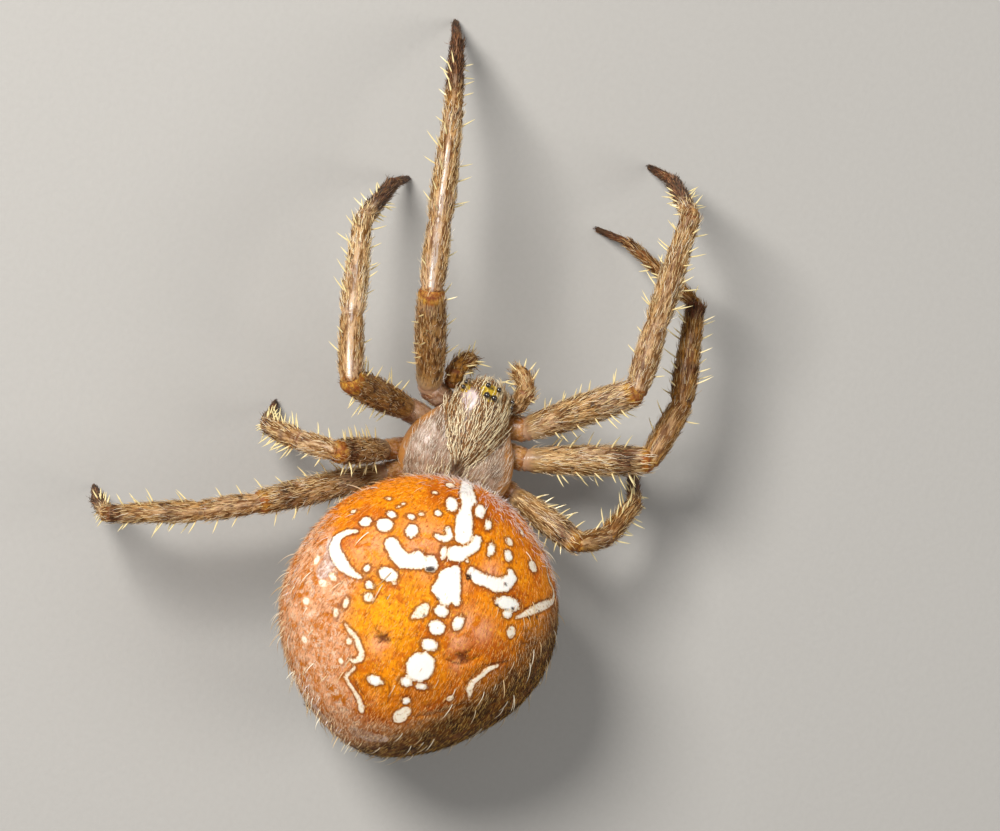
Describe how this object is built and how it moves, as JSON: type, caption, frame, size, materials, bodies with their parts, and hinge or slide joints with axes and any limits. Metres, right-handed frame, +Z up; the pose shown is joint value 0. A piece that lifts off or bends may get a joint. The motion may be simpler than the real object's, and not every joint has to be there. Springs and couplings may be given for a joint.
{
  "type": "garden cross orb weaver spider",
  "caption": "Life-size garden cross orb weaver, a round orange female with a white cross of spots on the back, resting on belly and spiny banded legs.",
  "frame": {"origin": "on the floor, under the middle of the model's box", "axes": "+Z up from the floor, -Y the way the head looks, +X the spider's own left"},
  "size_m": [0.0216, 0.0302, 0.0106],
  "materials": {
    "belly_skin": "satin, orange skin with white spots and fine pale hair",
    "head_skin": "satin, grey brown shell under combed cream hair",
    "leg_skin": "satin, tan with brown bands, dots and fine hair",
    "joint_skin": "semi-gloss, amber at the joints",
    "dark_shell": "satin, dark brown",
    "fang_horn": "polished horn",
    "eye": "glossy black",
    "hair": "pale hair and bristles"
  },
  "bodies": {
    "root": {"abdomen": "belly_skin", "carapace": "head_skin", "sternum": "dark_shell", "pedicel": "leg_skin", "spinnerets": "leg_skin", "epigyne": "dark_shell", "eye_front_middle_left": "eye", "eye_front_middle_right": "eye", "eye_rear_middle_left": "eye", "eye_rear_middle_right": "eye", "eye_front_side_left": "eye", "eye_front_side_right": "eye", "eye_rear_side_left": "eye", "eye_rear_side_right": "eye", "chelicera_left": "dark_shell", "fang_left": "fang_horn", "palp_left": "leg_skin", "leg1_left_coxa": "joint_skin", "leg1_left_femur": "leg_skin", "leg1_left_patella": "joint_skin", "leg1_left_tibia": "leg_skin", "leg1_left_foot": "leg_skin", "leg2_left_coxa": "joint_skin", "leg2_left_femur": "leg_skin", "leg2_left_patella": "joint_skin", "leg2_left_tibia": "leg_skin", "leg2_left_foot": "leg_skin", "leg3_left_coxa": "joint_skin", "leg3_left_femur": "leg_skin", "leg3_left_patella": "joint_skin", "leg3_left_tibia": "leg_skin", "leg3_left_foot": "leg_skin", "leg4_left_coxa": "joint_skin", "leg4_left_femur": "leg_skin", "leg4_left_patella": "joint_skin", "leg4_left_tibia": "leg_skin", "leg4_left_foot": "leg_skin", "chelicera_right": "dark_shell", "fang_right": "fang_horn", "palp_right": "leg_skin", "leg1_right_coxa": "joint_skin", "leg1_right_femur": "leg_skin", "leg1_right_patella": "joint_skin", "leg1_right_tibia": "leg_skin", "leg1_right_foot": "leg_skin", "leg2_right_coxa": "joint_skin", "leg2_right_femur": "leg_skin", "leg2_right_patella": "joint_skin", "leg2_right_tibia": "leg_skin", "leg2_right_foot": "leg_skin", "leg3_right_coxa": "joint_skin", "leg3_right_femur": "leg_skin", "leg3_right_patella": "joint_skin", "leg3_right_tibia": "leg_skin", "leg3_right_foot": "leg_skin", "leg4_right_coxa": "joint_skin", "leg4_right_femur": "leg_skin", "leg4_right_patella": "joint_skin", "leg4_right_tibia": "leg_skin", "leg4_right_foot": "leg_skin"}
  },
  "joints": []
}
